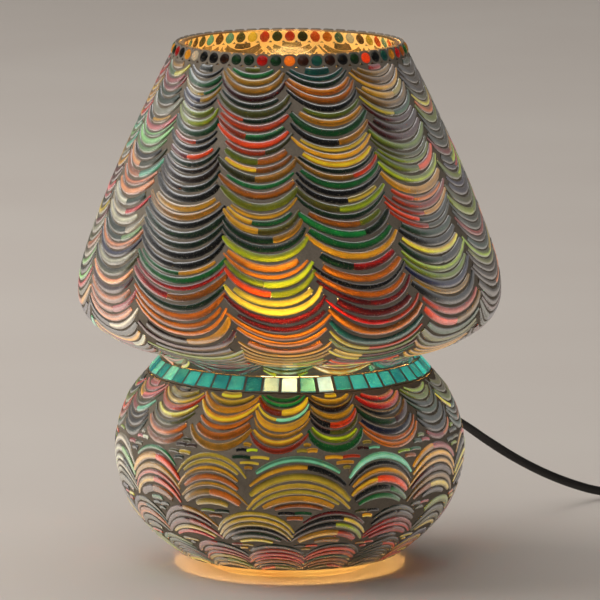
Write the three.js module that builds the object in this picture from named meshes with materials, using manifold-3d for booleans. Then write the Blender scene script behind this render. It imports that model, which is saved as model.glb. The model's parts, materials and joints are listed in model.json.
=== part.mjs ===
// Mosaic glass table lamp: one blown glass body, skinned with glass mosaic, on a clamped lampholder.
// Millimetres, +Z up. The origin is the centre of the foot ring on the table, and -Y is the front.
import * as THREE from 'three';
import { mergeVertices } from 'three/addons/utils/BufferGeometryUtils.js';
import Module from 'manifold-3d';

const wasm = await Module();
wasm.setup();

// ---- Driving dimensions -------------------------------------------------------------------------

const GAP = 0.3;              // clearance left between pieces that touch
const GLASS_WALL = 3;
const MOSAIC_THICKNESS = 2.7; // grout bed with the glass strips standing in it
const BODY_SEGMENTS = 32;
const SMALL_SEGMENTS = 16;
const OUTLINE_STEPS = 22;

// Outside of the blown glass from the foot ring to the ground lip, as radius and height.
const GLASS_OUTLINE = [
  [46, 0], [63, 10.5], [88.6, 36], [97.4, 68], [90.5, 95.5], [79, 111], [71.8, 120.5], [78, 128.3],
  [99, 135.3], [114.8, 148], [117.7, 163], [104, 208], [77, 269], [66, 291], [62.4, 300],
];
const BASE_MOSAIC_Z = [10, 110];
const TILE_BAND_Z = [110.5, 120.8];
const SHADE_MOSAIC_Z = [123, 292.2];
const BEAD_BAND_Z = [292.5, 299.7];

// The floor of the body is pushed up, so that the clamping nut stays clear of the table.
const FOOT_INNER_R = 36;
const HUB_R = 18;
const HUB_Z = [13, 17];
const HUB_HOLE_R = 6;

// Lampholder and its threaded pipe (M10), on the axis.
const PIPE_R = 4.9;
const PIPE_BORE_R = 3.5;
const PIPE_Z = [3.4, 47];
const NUT_ACROSS_FLATS = 14;
const NUT_HEIGHT = 4;
const BORE_R = PIPE_R + GAP;
const WASHER_R = 14;
const STEEL_WASHER = 1.2;
const RUBBER_WASHER = 1.8;
const HOLDER_Z = 42.3;
const HOLDER_R = 19.3;
const HOLDER_WALL = 2;
const SKIRT_Z = [62, 96];

// Bulb with an E27 screw cap.
const BULB_TIP_Z = 70.9;
const BULB_CAP_R = 13.1;
const BULB_CAP_Z = [73, 96.5];
const BULB_R = 30;
const BULB_CENTRE_Z = 146;
const BULB_WALL = 0.8;
const FILAMENT_COUNT = 4;

// Cord: flat twin cord, which leaves the body through a grommet at the rear right.
const CORD_R = 2.6;
const CORD_ANGLE = THREE.MathUtils.degToRad(50);
const CORD_EXIT_Z = 74;
const GROMMET_HOLE_R = 5.2;
const FLANGE_INSIDE_R = 91.2;  // radius at which each flange of the grommet faces the glass
const FLANGE_OUTSIDE_R = 97.9;
const FLANGE = 2;
const BOOT_END_R = 118;
const COIL_CENTRE = new THREE.Vector2(341, 162.45);
const COIL_R = 31;            // to the middle of its turns
const COIL_HALF_WIDTH = 8.4;
const COIL_Z = [1, 11.9];
const COIL_ENTRY_X = 18.5;    // the cord meets the wound ring this far before its crown
const COIL_INSET = 1.85;      // from the ring's outside to the middle of the cord that meets it

// Inline switch on the cord.
const SWITCH_CENTRE = new THREE.Vector3(259, 200, 8);
const SWITCH_LENGTH = 62;
const SWITCH_WIDTH = 22;
const SWITCH_HEIGHT = 16;
const SWITCH_WALL = 2;
const ROCKER_TILT = THREE.MathUtils.degToRad(8);
const ROCKER_PIVOT_Z = 13.5;
const SCREW_OFFSET = new THREE.Vector2(21, 6.4);
const SCREW_R = 1.4;
const BOSS_R = 2.9;

// Two-pin plug lying beside the coil, its pins pointing along -X.
const PLUG_AXIS_Z = 6.85;
const PLUG_RELIEF = 20;
const PLUG_BODY = 34;
const PLUG_WIDTH = 35.3;
const PIN_LENGTH = 19;
const PIN_ROOT = 7;            // length of each pin inside the body
const PIN_R = 2;
const PIN_SPREAD = 18.6;

// ---- Materials ----------------------------------------------------------------------------------

const material = (color, roughness, metalness = 0) =>
  new THREE.MeshStandardMaterial({ color, roughness, metalness });
const clearGlass = () => {
  const glass = material('#efe3bd', 0.08);
  glass.transparent = true;
  glass.opacity = 0.35;
  return glass;
};
const mosaic = () => material('#8f8a48', 0.4);
const beads = () => material('#a8713c', 0.25);
const tiles = () => material('#5fb59a', 0.25);
const brass = () => material('#c9a24b', 0.3, 1);
const steel = () => material('#b9bbbd', 0.35, 1);
const rubber = () => material('#1a1a1a', 0.8);
const blackPlastic = () => material('#141210', 0.45);
const bakelite = () => material('#1b1714', 0.3);
const whiteCeramic = () => material('#e9e5dc', 0.4);
const phosphor = () => material('#ffb347', 0.5);

const lamp = new THREE.Group();

function add(name, geometry, surface) {
  const mesh = new THREE.Mesh(geometry, surface);
  mesh.name = name;
  lamp.add(mesh);
  return mesh;
}

// ---- Shared shapes ------------------------------------------------------------------------------

// A turned piece. The profile runs anticlockwise in (radius, height) and closes on itself or on the axis.
function turned(profile, segments = SMALL_SEGMENTS) {
  const points = profile.map(([r, z]) => new THREE.Vector2(r, z));
  if (profile[0][0] > 0) points.push(points[0].clone());
  return new THREE.LatheGeometry(points, segments).rotateX(Math.PI / 2);
}

const tubeProfile = (inner, outer, [low, high]) => [[outer, low], [outer, high], [inner, high], [inner, low]];

// A plate lying flat: the outline drawn in X and Y, from one height to another.
function plate(shape, [low, high], curveSegments = 8) {
  const geometry = new THREE.ExtrudeGeometry(shape, {
    depth: high - low, bevelEnabled: false, curveSegments,
  });
  return geometry.translate(0, 0, low);
}

function roundHole(shape, x, y, r) {
  shape.holes.push(new THREE.Path().absarc(x, y, r, 0, 2 * Math.PI, true));
}

function polygon(points) {
  return new THREE.Shape(points.map(([x, y]) => new THREE.Vector2(x, y)));
}

// A flat outline with round ends, or with rounded corners when the radius is smaller.
function roundedBar(length, width, radius) {
  const [x, y, r] = [length / 2, width / 2, radius];
  const shape = new THREE.Shape();
  shape.absarc(x - r, y - r, r, 0, Math.PI / 2);
  shape.absarc(r - x, y - r, r, Math.PI / 2, Math.PI);
  shape.absarc(r - x, r - y, r, Math.PI, 1.5 * Math.PI);
  shape.absarc(x - r, r - y, r, 1.5 * Math.PI, 2 * Math.PI);
  return shape;
}

// Turns a shape that lies along Z so that it lies outward along the cord's exit direction.
function alongExit(geometry, height) {
  return geometry.rotateY(Math.PI / 2).rotateZ(CORD_ANGLE).translate(0, 0, height);
}

// A round-sectioned run of cord through a list of points.
function cordTube(points, steps) {
  const section = new THREE.Shape().absarc(0, 0, CORD_R, 0, 2 * Math.PI);
  const path = new THREE.CatmullRomCurve3(points.map((p) => new THREE.Vector3(...p)));
  return new THREE.ExtrudeGeometry(section, {
    extrudePath: path, steps, curveSegments: 4, bevelEnabled: false,
  });
}

function toSolid(geometry) {
  const bare = geometry.clone();
  bare.deleteAttribute('normal');
  bare.deleteAttribute('uv');
  const merged = mergeVertices(bare, 1e-4);
  const index = merged.index.array;
  const corners = [];
  for (let i = 0; i < index.length; i += 3) {
    const [a, b, c] = [index[i], index[i + 1], index[i + 2]];
    if (a !== b && b !== c && a !== c) corners.push(a, b, c);
  }
  return new wasm.Manifold(new wasm.Mesh({
    numProp: 3,
    vertProperties: new Float32Array(merged.attributes.position.array),
    triVerts: new Uint32Array(corners),
  }));
}

function fromSolid(solid) {
  const mesh = solid.getMesh();
  const geometry = new THREE.BufferGeometry();
  geometry.setAttribute('position', new THREE.BufferAttribute(new Float32Array(mesh.vertProperties), 3));
  geometry.setIndex(new THREE.BufferAttribute(new Uint32Array(mesh.triVerts), 1));
  geometry.computeVertexNormals();
  return geometry;
}

const cut = (body, ...tools) =>
  fromSolid(tools.reduce((solid, tool) => solid.subtract(toSolid(tool)), toSolid(body)));
const join = (body, ...others) =>
  fromSolid(others.reduce((solid, other) => solid.add(toSolid(other)), toSolid(body)));

const box = (x, y, z) => new THREE.BoxGeometry(x, y, z);
const rod = (radius, length, segments = SMALL_SEGMENTS) =>
  new THREE.CylinderGeometry(radius, radius, length, segments).rotateX(Math.PI / 2);

// ---- Glass body and its mosaic ------------------------------------------------------------------

// Points along the outside of the glass, each with its outward normal in the (radius, height) plane.
function sampleOutline() {
  const curve = new THREE.CatmullRomCurve3(
    GLASS_OUTLINE.map(([r, z]) => new THREE.Vector3(r, z, 0)), false, 'centripetal');
  return Array.from({ length: OUTLINE_STEPS + 1 }, (_, i) => {
    const point = curve.getPoint(i / OUTLINE_STEPS);
    const tangent = curve.getTangent(i / OUTLINE_STEPS);
    return { r: point.x, z: point.y, nr: tangent.y, nz: -tangent.x };
  });
}
const outline = sampleOutline();
const offset = (distance) => (p) => [p.r + distance * p.nr, p.z + distance * p.nz];

function glassBody() {
  const outer = outline.map(offset(0));
  const aboveFoot = outline.filter((p) => p.z > 8);
  const inner = aboveFoot.map(offset(-GLASS_WALL)).reverse();
  const lip = inner[0][0];
  inner[0] = [lip, outer[outer.length - 1][1]];
  const floorTop = [[50, 5.5], [40, 4], [30, 9.5], [HUB_R, HUB_Z[1]], [HUB_HOLE_R, HUB_Z[1]]];
  const punt = [[HUB_HOLE_R, HUB_Z[0]], [HUB_R, HUB_Z[0]], [27, 6.5], [FOOT_INNER_R, 0]];
  const body = turned([...outer, ...inner, ...floorTop, ...punt], BODY_SEGMENTS);
  return cut(body, alongExit(rod(GROMMET_HOLE_R + GAP, 60).translate(0, 0, 90), CORD_EXIT_Z));
}

// A layer that lies on the glass between two heights. It follows the same points as the glass.
function skin([low, high]) {
  const along = outline.filter((p) => p.z > low && p.z < high);
  const ends = [low, high].map(pointAt);
  const run = [ends[0], ...along, ends[1]];
  const outer = run.map(offset(GAP + MOSAIC_THICKNESS));
  const inner = run.map(offset(GAP)).reverse();
  return turned([...outer, ...inner], BODY_SEGMENTS);
}

function pointAt(height) {
  const next = outline.findIndex((p) => p.z >= height);
  const [a, b] = [outline[next - 1], outline[next]];
  const t = (height - a.z) / (b.z - a.z);
  const mixed = (key) => a[key] + t * (b[key] - a[key]);
  const length = Math.hypot(mixed('nr'), mixed('nz'));
  return { r: mixed('r'), z: height, nr: mixed('nr') / length, nz: mixed('nz') / length };
}

add('glass_body', glassBody(), clearGlass());
add('shade_mosaic', skin(SHADE_MOSAIC_Z), mosaic());
add('rim_bead_band', skin(BEAD_BAND_Z), beads());
add('shoulder_tile_band', skin(TILE_BAND_Z), tiles());
const flangeClearance = alongExit(rod(8.6, 40).translate(0, 0, 100), CORD_EXIT_Z);
add('base_mosaic', cut(skin(BASE_MOSAIC_Z), flangeClearance), mosaic());

// ---- Clamped pipe and lampholder ----------------------------------------------------------------

function hexNut(low) {
  const corner = NUT_ACROSS_FLATS / Math.sqrt(3);
  const corners = Array.from({ length: 6 }, (_, i) => [
    corner * Math.cos(i * Math.PI / 3), corner * Math.sin(i * Math.PI / 3)]);
  const shape = polygon(corners);
  roundHole(shape, 0, 0, BORE_R);
  return plate(shape, [low, low + NUT_HEIGHT]);
}

const washer = (low, thickness) => turned(tubeProfile(BORE_R, WASHER_R, [low, low + thickness]));

function clampStack() {
  const lowerRubber = HUB_Z[0] - GAP - RUBBER_WASHER;
  const lowerSteel = lowerRubber - GAP - STEEL_WASHER;
  const upperRubber = HUB_Z[1] + GAP;
  const upperSteel = upperRubber + RUBBER_WASHER + GAP;
  const upperNut = upperSteel + STEEL_WASHER + GAP;
  add('threaded_pipe', turned(tubeProfile(PIPE_BORE_R, PIPE_R, PIPE_Z)), brass());
  add('lower_nut', hexNut(lowerSteel - GAP - NUT_HEIGHT), brass());
  add('lower_steel_washer', washer(lowerSteel, STEEL_WASHER), steel());
  add('lower_rubber_washer', washer(lowerRubber, RUBBER_WASHER), rubber());
  add('upper_rubber_washer', washer(upperRubber, RUBBER_WASHER), rubber());
  add('upper_steel_washer', washer(upperSteel, STEEL_WASHER), steel());
  add('upper_nut', hexNut(upperNut), brass());
  add('holder_lock_nut', hexNut(HOLDER_Z - GAP - NUT_HEIGHT), brass());
}
clampStack();

function holderCap() {
  const inner = HOLDER_R - HOLDER_WALL;
  const profile = [
    [BORE_R, HOLDER_Z], [15, HOLDER_Z], [18.5, 46], [HOLDER_R, 52], [HOLDER_R, SKIRT_Z[0] - GAP],
    [inner, SKIRT_Z[0] - GAP], [inner, 52], [16.2, 47.2], [13.6, 44.8], [BORE_R, 44.8],
  ];
  return cut(turned(profile), alongExit(rod(CORD_R + 2 * GAP, 12, 16).translate(0, 0, 18), 52));
}

function holderSkirt() {
  const inner = HOLDER_R - HOLDER_WALL;
  const [low, high] = SKIRT_Z;
  return turned([
    [HOLDER_R, low], [HOLDER_R, high - 4], [HOLDER_R + 1.2, high - 3], [HOLDER_R + 1.2, high],
    [14.9, high], [14.9, high - 2], [inner, high - 2], [inner, low],
  ]);
}

const BLOCK_Z = [60.2, 67.7];
const SCREW_Y = 9;
const STRIP = 0.6;

function contactBlock() {
  const shape = new THREE.Shape().absarc(0, 0, 16.5, 0, 2 * Math.PI);
  for (const y of [-SCREW_Y, SCREW_Y]) roundHole(shape, 0, y, 1.8);
  return plate(shape, BLOCK_Z, 12);
}

// A bent strip: its side view drawn in X and Z, and extruded across Y.
function strip(points, width) {
  const geometry = new THREE.ExtrudeGeometry(polygon(points), { depth: width, bevelEnabled: false });
  return geometry.translate(0, 0, -width / 2).rotateX(Math.PI / 2);
}

function terminalScrew(y) {
  return turned([[0, 57.4], [2.2, 57.4], [2.8, 58], [2.8, 59.8], [1.4, 59.8], [1.4, 66], [0, 66]], 12)
    .translate(0, y, 0);
}

add('holder_cap', holderCap(), bakelite());
add('holder_skirt', holderSkirt(), bakelite());
add('contact_block', contactBlock(), whiteCeramic());
const foot = BLOCK_Z[1] + GAP;
add('centre_contact', strip([
  [-13, foot], [-6, foot], [3, foot + 1.9], [3, foot + 1.9 + STRIP], [-6.2, foot + STRIP],
  [-13, foot + STRIP],
], 6), brass());
add('side_contact', strip([
  [9, foot], [15.6, foot], [15.6, foot + 9], [15.6 - STRIP, foot + 9], [15.6 - STRIP, foot + STRIP],
  [9, foot + STRIP],
], 6), brass());
add('threaded_shell', turned(tubeProfile(13.7, 14.4, [69.5, 93])), brass());
add('terminal_screw_left', terminalScrew(-SCREW_Y), steel());
add('terminal_screw_right', terminalScrew(SCREW_Y), steel());

// ---- Bulb ---------------------------------------------------------------------------------------

function bulbGlass() {
  const arc = (r, from, to, count) => Array.from({ length: count + 1 }, (_, i) => {
    const angle = from + (to - from) * i / count;
    return [Math.max(r * Math.cos(angle), 0), BULB_CENTRE_Z + r * Math.sin(angle)];
  });
  const [low, top, steps] = [-0.5, Math.PI / 2, 7];
  const outer = [[12, 88], [12, 97.5], [14.5, 103], [20, 117], ...arc(BULB_R, low, top, steps)];
  const inner = [
    ...arc(BULB_R - BULB_WALL, low, top, steps).reverse(),
    [19.2, 117.2], [13.6, 103], [11.2, 97.8], [11.2, 88],
  ];
  return turned([...outer, ...inner]);
}

function bulb() {
  add('bulb_tip_contact', turned([
    [0, BULB_TIP_Z], [2.4, BULB_TIP_Z], [2.9, 72], [2.9, 74], [0, 74],
  ], 16), steel());
  add('bulb_insulator', turned([[4.3, 72.3], [4.3, 75.2], [3.2, 75.2], [3.2, 72]], 16), bakelite());
  const [low, high] = BULB_CAP_Z;
  const inner = BULB_CAP_R - 0.5;
  add('bulb_cap', turned([
    [4.6, low], [10.5, low + 1.5], [BULB_CAP_R, low + 4.5], [BULB_CAP_R, high],
    [inner, high], [inner, low + 5], [10.2, low + 2.1], [4.6, low + 0.7],
  ]), steel());
  add('bulb_glass', bulbGlass(), clearGlass());
  add('bulb_stem', turned([
    [0, 88], [10.8, 88], [10.8, 89.5], [5, 93], [3.2, 100], [2.6, 118], [0, 119],
  ], 16), clearGlass());
  add('filament_support', turned([
    [0, 119.4], [0.7, 119.4], [0.7, 150.5], [6, 150.5], [6, 151.3], [0, 151.3],
  ], 16), steel());
  for (let i = 0; i < FILAMENT_COUNT; i++) {
    const angle = (i + 0.5) * 2 * Math.PI / FILAMENT_COUNT;
    const filament = rod(1.1, 36, 8).rotateY(-0.09).translate(6.6, 0, 131.8).rotateZ(angle);
    add(`filament_${i + 1}`, filament, phosphor());
  }
  add('driver_board', box(14, 1.6, 10).translate(0, 0, 82), material('#2f6b3a', 0.6));
}
bulb();

// ---- Cord ---------------------------------------------------------------------------------------

const exitPoint = (radius, height) =>
  [radius * Math.cos(CORD_ANGLE), radius * Math.sin(CORD_ANGLE), height];

// The grommet clamps the glass between two flanges, and its boot tapers along the cord.
function grommet() {
  const bore = CORD_R + GAP;
  const [hole, inside, outside] = [GROMMET_HOLE_R, FLANGE_INSIDE_R, FLANGE_OUTSIDE_R];
  return alongExit(turned([
    [7, inside - FLANGE], [7, inside], [hole, inside], [hole, outside], [8, outside], [8, outside + FLANGE],
    [6, outside + 3.6], [4.3, BOOT_END_R], [bore, BOOT_END_R], [bore, inside - FLANGE],
  ]), CORD_EXIT_Z);
}

function wiring() {
  add('cord_grommet', grommet(), rubber());
  add('inner_cord', cordTube([
    exitPoint(FLANGE_INSIDE_R - FLANGE - GAP, CORD_EXIT_Z), exitPoint(78, 73.5), exitPoint(62, 67.5),
    exitPoint(45, 58.5), exitPoint(30, 53), exitPoint(18.5, 52), exitPoint(9, 52.3),
  ], 16), blackPlastic());
}
wiring();

// Free cord, in three stretches: body to switch, switch to coil, and coil to plug.
const crown = COIL_CENTRE.y + COIL_R + COIL_HALF_WIDTH - COIL_INSET;
const keel = 2 * COIL_CENTRE.y - crown;
const switchStart = SWITCH_CENTRE.x - SWITCH_LENGTH / 2 - GAP;
const switchEnd = SWITCH_CENTRE.x + SWITCH_LENGTH / 2 + GAP;
const coilX = COIL_CENTRE.x - COIL_ENTRY_X;
const plugStart = coilX - 35;

const RUN_ROUTE = [
  exitPoint(BOOT_END_R + GAP, CORD_EXIT_Z), [84, 99.5, 71.5], [93, 109.5, 66], [104, 121, 57],
  [118, 134.5, 45], [135, 149.5, 31.8], [153, 164, 20], [171, 176, 10.8], [186, 184.5, 5.2],
  [200, 191, 2.9], [214, 196.4, 4.6], [switchStart, SWITCH_CENTRE.y, SWITCH_CENTRE.z],
];
const LINK_ROUTE = [
  [switchEnd, SWITCH_CENTRE.y, SWITCH_CENTRE.z], [switchEnd + 10, SWITCH_CENTRE.y, 6.4],
  [switchEnd + 21, crown, 4], [coilX, crown, 3.7],
];
const TAIL_ROUTE = [
  [coilX, keel, 9.1], [coilX - 12, keel, 8.2], [coilX - 24, keel, 7], [plugStart, keel, PLUG_AXIS_Z],
];

add('cord_run', cordTube(RUN_ROUTE, 26), blackPlastic());
add('cord_link', cordTube(LINK_ROUTE, 6), blackPlastic());
add('cord_tail', cordTube(TAIL_ROUTE, 6), blackPlastic());

function coil() {
  const [inner, outer] = [COIL_R - COIL_HALF_WIDTH, COIL_R + COIL_HALF_WIDTH];
  const [low, high] = COIL_Z;
  const round = 2;
  const ring = turned([
    [outer - round, low], [outer, low + round], [outer, high - round], [outer - round, high],
    [inner + round, high], [inner, high - round], [inner, low + round], [inner + round, low],
  ], 28);
  add('cord_coil', ring.translate(COIL_CENTRE.x, COIL_CENTRE.y, 0), blackPlastic());
}
coil();

// A flat band round the coil's section, on the side away from the lamp.
function cordTie() {
  const [inside, band] = [GAP, 0.6];
  const [width, height] = [2 * COIL_HALF_WIDTH, COIL_Z[1] - COIL_Z[0]];
  const outer = roundedBar(width + 2 * (inside + band), height + 2 * (inside + band), 1.6);
  const opening = roundedBar(width + 2 * inside, height + 2 * inside, 1);
  outer.holes.push(new THREE.Path(opening.getPoints(3).reverse()));
  const geometry = new THREE.ExtrudeGeometry(outer, { depth: 5, bevelEnabled: false, curveSegments: 3 });
  geometry.translate(0, 0, -2.5).rotateX(Math.PI / 2);
  add('cord_tie', geometry.translate(COIL_CENTRE.x + COIL_R, COIL_CENTRE.y, (COIL_Z[0] + COIL_Z[1]) / 2),
    blackPlastic());
}
cordTie();

// ---- Inline switch ------------------------------------------------------------------------------

function inlineSwitch() {
  const half = SWITCH_HEIGHT / 2;
  const outside = roundedBar(SWITCH_LENGTH, SWITCH_WIDTH, 7);
  const inside = roundedBar(SWITCH_LENGTH - 2 * SWITCH_WALL, SWITCH_WIDTH - 2 * SWITCH_WALL, 5);
  const hollow = plate(inside, [SWITCH_WALL, SWITCH_HEIGHT - SWITCH_WALL], 3);
  const cordHole = rod(CORD_R + GAP, SWITCH_LENGTH + 10, 12).rotateY(Math.PI / 2).translate(0, 0, half);
  const atScrews = (radius, [low, high]) => [-1, 1].map((side) =>
    rod(radius, high - low, 12).translate(side * SCREW_OFFSET.x, side * SCREW_OFFSET.y, (low + high) / 2));
  const place = (geometry) => geometry.translate(SWITCH_CENTRE.x, SWITCH_CENTRE.y, 0);

  // Half of the case: a hollow shell with a tubular boss round each screw.
  function shell([low, high], bossZ, holeZ) {
    const hollowed = cut(plate(outside, [low, high], 5), hollow);
    return cut(join(hollowed, ...atScrews(BOSS_R, bossZ)), cordHole, ...atScrews(SCREW_R + GAP, holeZ));
  }
  const [parting, top] = [GAP / 2, SWITCH_HEIGHT];
  const window = box(20, 9.6, 10).translate(0, 0, top);
  const lower = shell([0, half - parting], [1, half - parting], [-1, half]);
  const upper = cut(shell([half + parting, top], [half + parting, top - 1], [half, 12.5]), window);
  add('switch_lower_shell', place(lower), blackPlastic());
  add('switch_upper_shell', place(upper), blackPlastic());

  // Side view of the rocker about its pivot: two pads that meet in a shallow V.
  const side = polygon([[-9, 0.7], [-4, -2.5], [4, -2.5], [9, 0.7], [9, 3.3], [0, 0.9], [-9, 3.3]]);
  const rocker = new THREE.ExtrudeGeometry(side, { depth: 8.8, bevelEnabled: false });
  rocker.translate(0, 0, -4.4).rotateX(Math.PI / 2).rotateY(ROCKER_TILT).translate(0, 0, ROCKER_PIVOT_Z);
  add('switch_rocker', place(rocker), blackPlastic());

  add('switch_contact', place(box(16, 5, 1).translate(0, 0, 4)), brass());
  const [left, right] = atScrews(SCREW_R, [0.6, 12]);
  add('switch_screw_left', place(left), steel());
  add('switch_screw_right', place(right), steel());
}
inlineSwitch();

// ---- Plug ---------------------------------------------------------------------------------------

function plug() {
  const nose = plugStart - GAP - PLUG_RELIEF - PLUG_BODY;
  const depth = 2 * PLUG_AXIS_Z - 0.4;
  const half = PLUG_WIDTH / 2;
  const outlinePoints = [
    [0, -half], [PLUG_BODY * 0.45, -half], [PLUG_BODY * 0.8, -11], [PLUG_BODY, -7],
    [PLUG_BODY, 7], [PLUG_BODY * 0.8, 11], [PLUG_BODY * 0.45, half], [0, half],
  ];
  const body = plate(polygon(outlinePoints), [-depth / 2, depth / 2]);
  const relief = turned([
    [0, PLUG_BODY - 1], [5, PLUG_BODY - 1], [5, PLUG_BODY + 3], [3.5, PLUG_BODY + PLUG_RELIEF],
    [0, PLUG_BODY + PLUG_RELIEF],
  ], 16).rotateY(Math.PI / 2);
  const sockets = [-1, 1].map((side) =>
    rod(PIN_R + GAP, 16, 12).rotateY(Math.PI / 2).translate(0, side * PIN_SPREAD / 2, 0));
  const moulded = cut(join(body, relief), ...sockets);
  add('plug_body', moulded.translate(nose, keel, PLUG_AXIS_Z), blackPlastic());
  const tip = PIN_LENGTH + PIN_ROOT;
  for (const [name, side] of [['plug_pin_left', -1], ['plug_pin_right', 1]]) {
    const pin = turned([[0, 0], [PIN_R, 0], [PIN_R, tip - 1.5], [1.2, tip], [0, tip]], 12);
    pin.rotateY(-Math.PI / 2).translate(nose + PIN_ROOT, keel + side * PIN_SPREAD / 2, PLUG_AXIS_Z);
    add(name, pin, steel());
  }
}
plug();

export default lamp;
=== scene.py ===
"""Looks of the mosaic glass table lamp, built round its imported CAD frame.

Everything is in metres, with +Z up and -Y as the front.
"""
import json
import math
import random

import bmesh
import bpy
import numpy as np
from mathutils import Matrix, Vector

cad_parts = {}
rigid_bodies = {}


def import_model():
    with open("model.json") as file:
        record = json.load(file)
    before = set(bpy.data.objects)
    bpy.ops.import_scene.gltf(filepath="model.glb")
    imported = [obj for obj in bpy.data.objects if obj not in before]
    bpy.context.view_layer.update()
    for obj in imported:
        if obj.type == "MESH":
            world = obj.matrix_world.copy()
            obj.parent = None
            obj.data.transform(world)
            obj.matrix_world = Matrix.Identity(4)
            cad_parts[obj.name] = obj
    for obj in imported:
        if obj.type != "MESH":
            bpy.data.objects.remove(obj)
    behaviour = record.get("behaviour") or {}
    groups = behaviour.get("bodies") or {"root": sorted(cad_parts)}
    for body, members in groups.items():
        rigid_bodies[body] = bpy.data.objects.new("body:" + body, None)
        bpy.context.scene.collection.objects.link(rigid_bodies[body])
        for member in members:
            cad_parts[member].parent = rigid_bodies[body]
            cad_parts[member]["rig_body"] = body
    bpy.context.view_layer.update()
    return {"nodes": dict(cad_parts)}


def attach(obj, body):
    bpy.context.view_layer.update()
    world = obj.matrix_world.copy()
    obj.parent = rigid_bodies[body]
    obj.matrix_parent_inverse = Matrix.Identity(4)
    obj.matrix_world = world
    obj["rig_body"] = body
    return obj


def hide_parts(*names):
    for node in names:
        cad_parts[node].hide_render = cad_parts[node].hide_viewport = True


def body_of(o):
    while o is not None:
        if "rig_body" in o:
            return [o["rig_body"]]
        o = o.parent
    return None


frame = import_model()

MM = 0.001

# ---- Driving sizes ----

# Outside of the blown glass, from the foot ring to the ground lip: radius and height, as in the CAD.
GLASS_OUTLINE = [
    (46, 0), (63, 10.5), (88.6, 36), (97.4, 68), (90.5, 95.5), (79, 111), (71.8, 120.5), (78, 128.3),
    (99, 135.3), (114.8, 148), (117.7, 163), (104, 208), (77, 269), (66, 291), (62.4, 300),
]
GLASS_WALL = 3 * MM
HUB_HOLE_R = 6 * MM
INNER_FOOT_Z = 8 * MM     # the wall's inside starts here, and the glass floor meets it
LIP_FLAT = 0.8 * MM       # half the width of the flat that is ground on the lip
PUNT_BELOW = [(46, 0), (36, 0), (27, 6.5), (18, 13), (6, 13)]
FLOOR_ABOVE = [(6, 17), (18, 17), (30, 9.5), (40, 4), (50, 5.5)]

GROUT_LOW = 0.3 * MM      # the grout bed and the strips, as heights above the glass
GROUT_TOP = 2.2 * MM
GROUT_UNEVEN = 0.14 * MM
STRIP_SIDE = 2.0 * MM
STRIP_TOP = 2.9 * MM
STRIP_HALF_WIDTH = 2.4 * MM

BEAD_COUNT = 54
TILE_COUNT = 48
BEAD_BAND = (0.2925, 0.2997)
TILE_BAND = (0.1105, 0.1206)
SHADE_BAND = (0.1206, 0.2925)
BASE_SPLITS = (0.0290, 0.0490, 0.0800)      # between the three rows of arches and the sagging columns
BASE_BAND = (0.0095, 0.1105)

# Right-hand borders of the mosaic's columns, as azimuths from the front. The shade's columns lean a
# little, so they have one list for their foot and one for their top.
SHADE_BORDERS = [-70, -45, -13, 11, 37, 62, 88, 114, 140, 166, 192, 217, 242, 266]
SHADE_BORDERS_TOP = [-78, -53, -32, -3, 29, 60, 87, 114, 140, 166, 192, 216, 238, 260]
BASE_UPPER_BORDERS = [-57, -35, -12, 6, 26, 48, 70, 92, 114, 136, 158, 180, 202, 223, 243, 263, 283]
BASE_ARCH_BORDERS = [-62, -38, -15, 20, 43, 69, 94, 120, 146, 172, 198, 223, 248, 273]
MIDDLE_ARCH_BORDERS = [-50, -27, 2, 26, 50, 74, 98, 122, 146, 170, 194, 218, 242, 266, 288]
FOOT_ARCH_BORDERS = [-40, -18, 6, 29, 52, 74, 96, 118, 140, 162, 184, 206, 228, 250, 274, 297]

BULB_CENTRE_Z = 146 * MM
BULB_R = 30 * MM
BULB_WALL = 0.8 * MM
BULB_NECK = [(12, 88), (12, 97.5), (14.5, 103), (20, 117)]
THREAD_PITCH = 3.629 * MM
THREAD_DEPTH = 0.7 * MM

CORD_WIDTH = 5.2 * MM
CORD_THICKNESS = 3.2 * MM
CORD_ANGLE = math.radians(50)
CORD_TURN = (0.03, 0.13)    # between these distances its wide side turns from level to upright
CORD_EXIT_Z = 74 * MM
BOOT_END_R = 118 * MM
COIL_CENTRE = (341 * MM, 162.45 * MM)
COIL_TURNS = 7.5
COIL_STEP = 3.5 * MM      # a turn is one cord's thickness away from the next
COIL_INNER_R = 24.45 * MM
COIL_Z = (3.6 * MM, 9.0 * MM)

# ---- Camera ----

CAMERA_PLACE = Vector((0.0058, -3.300, 0.6864))
CAMERA_TARGET = Vector((0.0058, 0.0, 0.1519))


def make_camera():
    data = bpy.data.cameras.new("camera")
    data.lens = 351.9
    data.sensor_width = 36
    data.clip_start = 0.1
    data.clip_end = 30
    camera = bpy.data.objects.new("camera", data)
    camera.location = CAMERA_PLACE
    camera.rotation_euler = (CAMERA_TARGET - CAMERA_PLACE).to_track_quat("-Z", "Y").to_euler()
    bpy.context.scene.collection.objects.link(camera)
    bpy.context.scene.camera = camera


make_camera()

# ---- Mesh helpers ----


def mesh_piece(name, vertices, faces, material, body="lamp", replaces=(), sharp=40):
    """A smooth-shaded mesh that rides on a body, with edges above an angle left sharp."""
    mesh = bpy.data.meshes.new(name)
    mesh.from_pydata([tuple(v) for v in vertices], [], faces)
    mesh.validate()
    mesh.update()
    mesh.shade_smooth()
    mesh.set_sharp_from_angle(angle=math.radians(sharp))
    mesh.materials.append(material)
    piece = bpy.data.objects.new(name, mesh)
    bpy.context.scene.collection.objects.link(piece)
    if body:
        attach(piece, body)
    if replaces:
        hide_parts(*replaces)
    return piece


def joined(count, rings, wrap=False, flip=False):
    """Quads between rings of so many vertices, from each ring to the next."""
    faces = []
    for k in range(rings if wrap else rings - 1):
        a, b = k * count, (k + 1) % rings * count
        for i in range(count):
            j = (i + 1) % count
            faces.append((a + i, b + i, b + j, a + j) if flip else (a + i, a + j, b + j, b + i))
    return faces


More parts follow.
